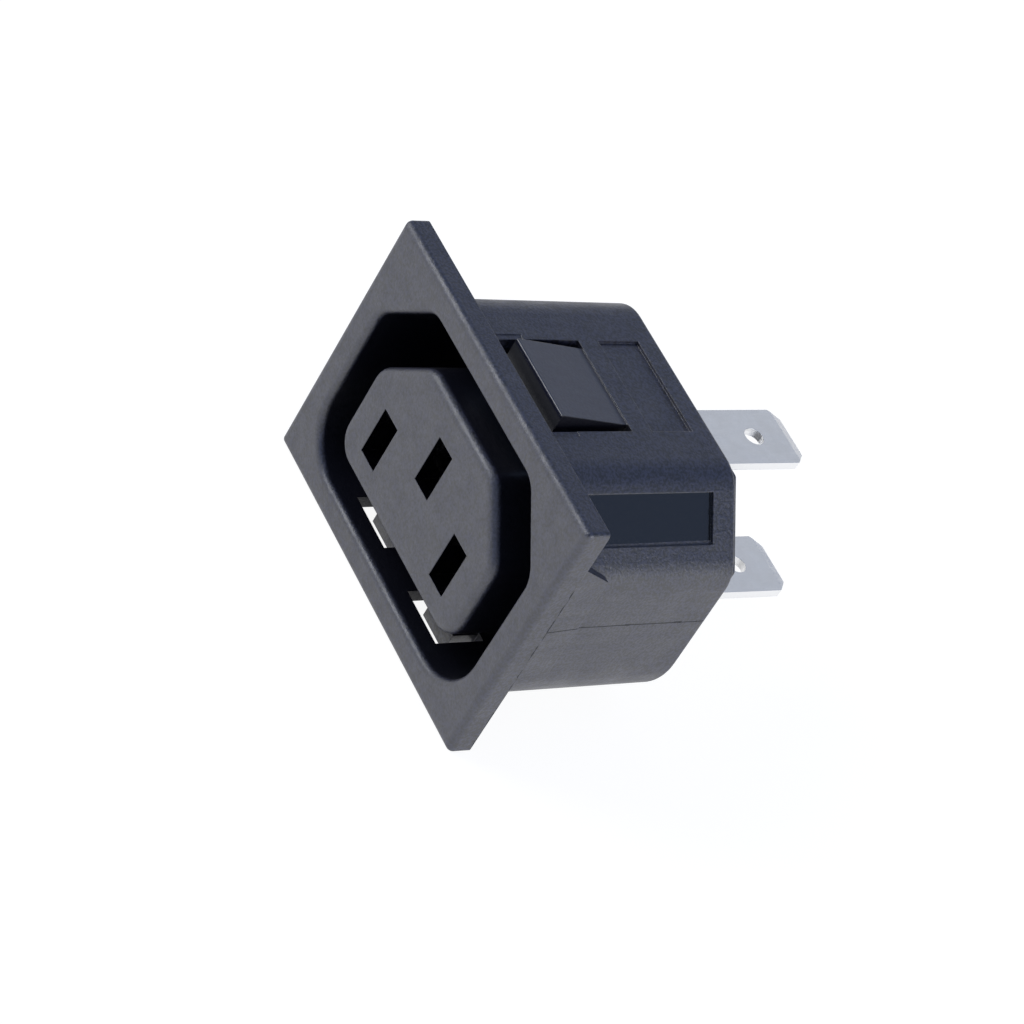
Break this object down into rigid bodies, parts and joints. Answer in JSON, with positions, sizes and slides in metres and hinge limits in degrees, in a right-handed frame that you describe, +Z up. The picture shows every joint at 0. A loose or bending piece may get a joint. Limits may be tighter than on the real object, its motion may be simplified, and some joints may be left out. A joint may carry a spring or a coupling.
{
  "type": "ac panel socket",
  "caption": "Black snap-in panel outlet for an appliance power plug: keyed recess with slotted core, spring latch behind the flange, flat push-on tabs at the rear.",
  "frame": {"origin": "centre of the flange on the plane of its rear face, which rests on the front of the panel", "axes": "+X along the long side of the flange, +Y from the panel into the equipment, along the tabs, +Z up, to the chamfered earth side"},
  "size_m": [0.0354, 0.0364, 0.0264],
  "materials": {
    "housing_plastic": "satin black moulded thermoplastic with a fine spark-eroded grain",
    "cover_plastic": "black moulded thermoplastic, slightly smoother than the housing",
    "plated_brass": "bright tin plating over brass sheet"
  },
  "bodies": {
    "root": {"housing": "housing_plastic", "contact_block": "housing_plastic", "rear_cover": "cover_plastic", "line_contact": "plated_brass", "neutral_contact": "plated_brass", "earth_contact": "plated_brass"}
  },
  "joints": []
}
